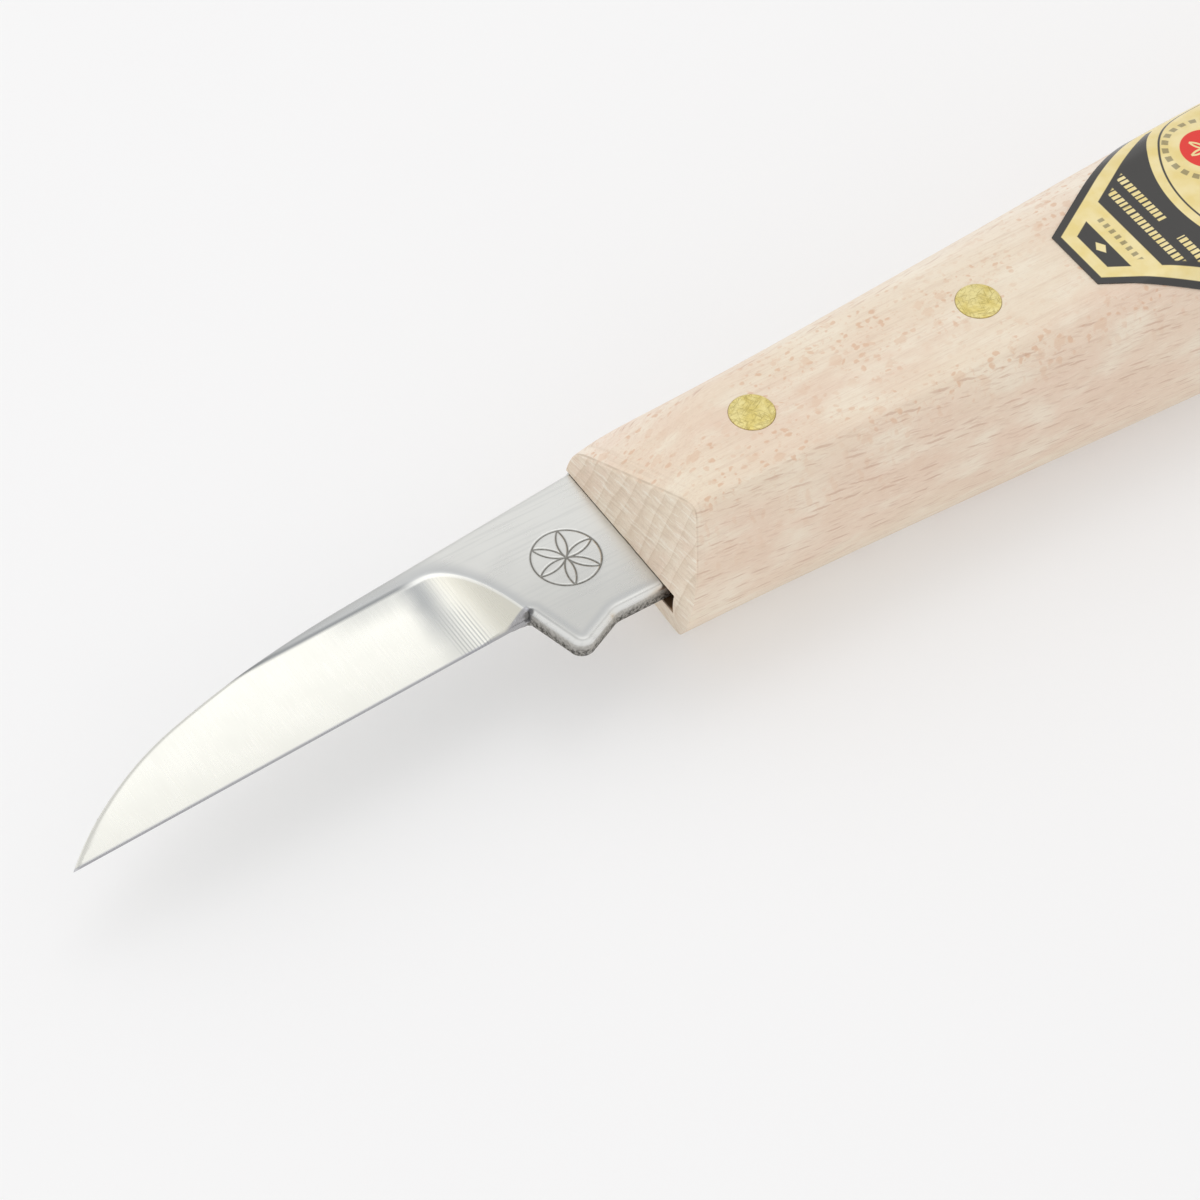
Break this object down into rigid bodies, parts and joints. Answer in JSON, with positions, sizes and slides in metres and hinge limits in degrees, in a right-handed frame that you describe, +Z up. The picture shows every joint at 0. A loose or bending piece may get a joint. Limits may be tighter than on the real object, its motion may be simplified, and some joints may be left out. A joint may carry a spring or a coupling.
{
  "type": "lino and carving knife",
  "caption": "Fixed-blade carving and lino knife with a hollow-ground drop-back blade riveted into a slotted beech handle.",
  "frame": {"origin": "middle of the bounding box, on the plane that the lower flat of the handle rests on", "axes": "+X from the blade's tip towards the handle's butt, +Y from the cutting edge towards the back, +Z up through the blade's thickness, from the resting flat to the labelled flat"},
  "size_m": [0.167, 0.024, 0.0188],
  "materials": {
    "blade_steel": "satin, hollow ground",
    "beech": "sanded, unvarnished",
    "brass": "ground flush, fine scratches",
    "foil": "gloss black foil with gold print"
  },
  "bodies": {
    "root": {"blade": "blade_steel", "handle": "beech", "rivet_front": "brass", "rivet_rear": "brass", "label": "foil"}
  },
  "joints": []
}
